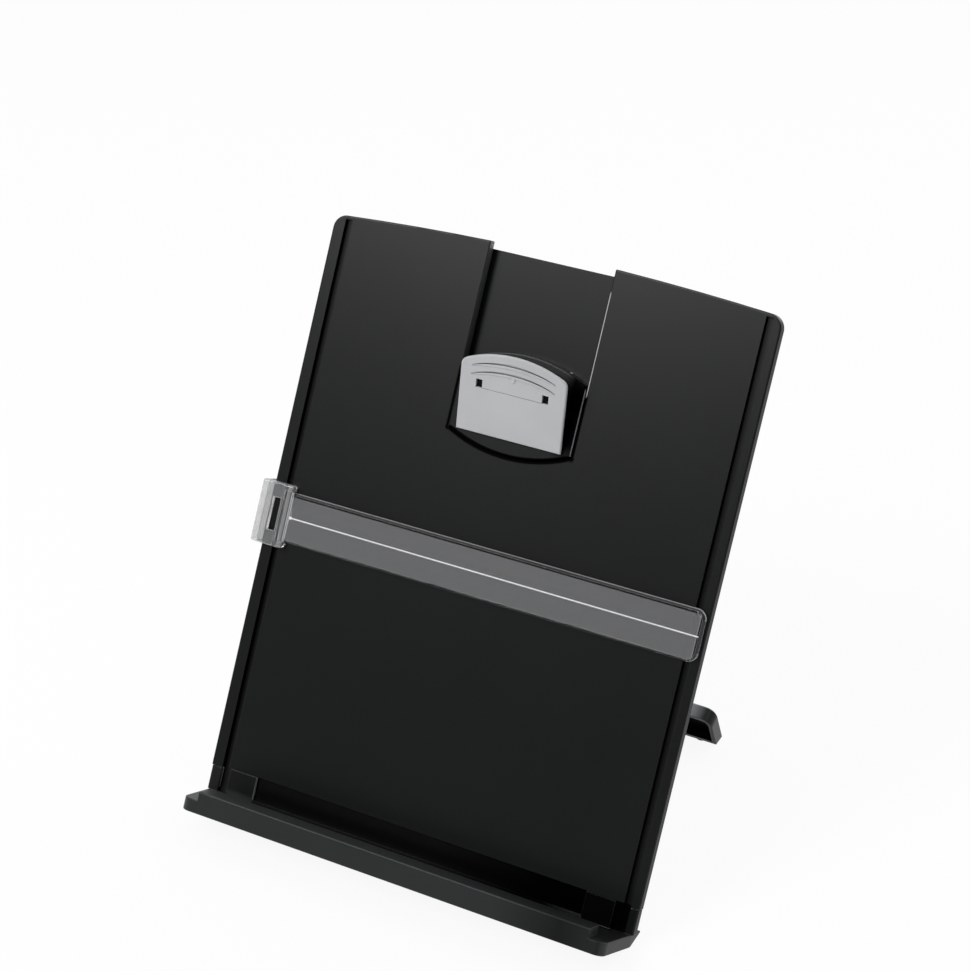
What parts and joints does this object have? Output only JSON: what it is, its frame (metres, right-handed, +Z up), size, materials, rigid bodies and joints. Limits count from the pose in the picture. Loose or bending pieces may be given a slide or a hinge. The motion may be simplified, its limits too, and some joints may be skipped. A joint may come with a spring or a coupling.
{
  "type": "desktop document holder",
  "caption": "Reclined easel panel on a tray with a sprung paper clip on a pull-up slide, a clear hinged line guide on the edge and a folding rear leg.",
  "frame": {"origin": "centre of the underside of the tray's resting strip, on the table", "axes": "+X to the right as the reader sees it, +Y away from the reader, +Z up"},
  "size_m": [0.2443, 0.1954, 0.2711],
  "materials": {
    "black_plastic": "fine satin moulded black",
    "tray_plastic": "fine satin moulded black",
    "lever_plastic": "smooth moulded black",
    "grey_plastic": "satin light grey",
    "clear_plastic": "clear polished acrylic",
    "white_ink": "white filled line",
    "rubber": "soft matte black",
    "steel": "bright drawn steel"
  },
  "bodies": {
    "easel": {"front_panel": "black_plastic", "rear_cover": "black_plastic", "slide_brake": "steel", "cover_screws": "steel", "tray": "tray_plastic", "tray_foot_strip": "rubber", "tray_screws": "steel", "leg_hinge_pin": "steel", "pin_clip_left": "steel", "pin_clip_right": "steel"},
    "clip_slide": {"slide_plate": "black_plastic", "clip_base": "black_plastic", "clip_pin": "steel", "clip_spring_left": "steel", "clip_spring_right": "steel"},
    "clip_lever": {"clip_face": "grey_plastic", "clip_lever": "lever_plastic", "clip_jaw_pad": "rubber"},
    "guide_carriage": {"guide_carriage": "clear_plastic"},
    "guide_arm": {"guide_blade": "clear_plastic", "guide_line": "white_ink"},
    "leg": {"leg_shell": "black_plastic", "leg_foot_left": "rubber", "leg_foot_right": "rubber"}
  },
  "joints": [
    {"name": "clip_raise", "type": "slide", "parent": "easel", "child": "clip_slide", "axis": [0, 0.5, 0.866], "range_m": [0, 0.165]},
    {"name": "clip_open", "type": "hinge", "parent": "clip_slide", "child": "clip_lever", "pos_m": [0, 0.1066, 0.20983], "axis": [-1, 0, 0], "range_deg": [0, 30], "stiffness_Nm_per_rad": 0.1, "springref_deg": -28.65},
    {"name": "guide_height", "type": "slide", "parent": "easel", "child": "guide_carriage", "axis": [0, 0.5, 0.866], "range_m": [-0.115, 0.048]},
    {"name": "guide_swing", "type": "hinge", "parent": "guide_carriage", "child": "guide_arm", "pos_m": [-0.1084, 0.06539, 0.13605], "axis": [0, -0.5, -0.866], "range_deg": [0, 90]},
    {"name": "leg_fold", "type": "hinge", "parent": "easel", "child": "leg", "pos_m": [0, 0.09541, 0.15625], "axis": [-1, 0, 0], "range_deg": [0, 52]}
  ]
}
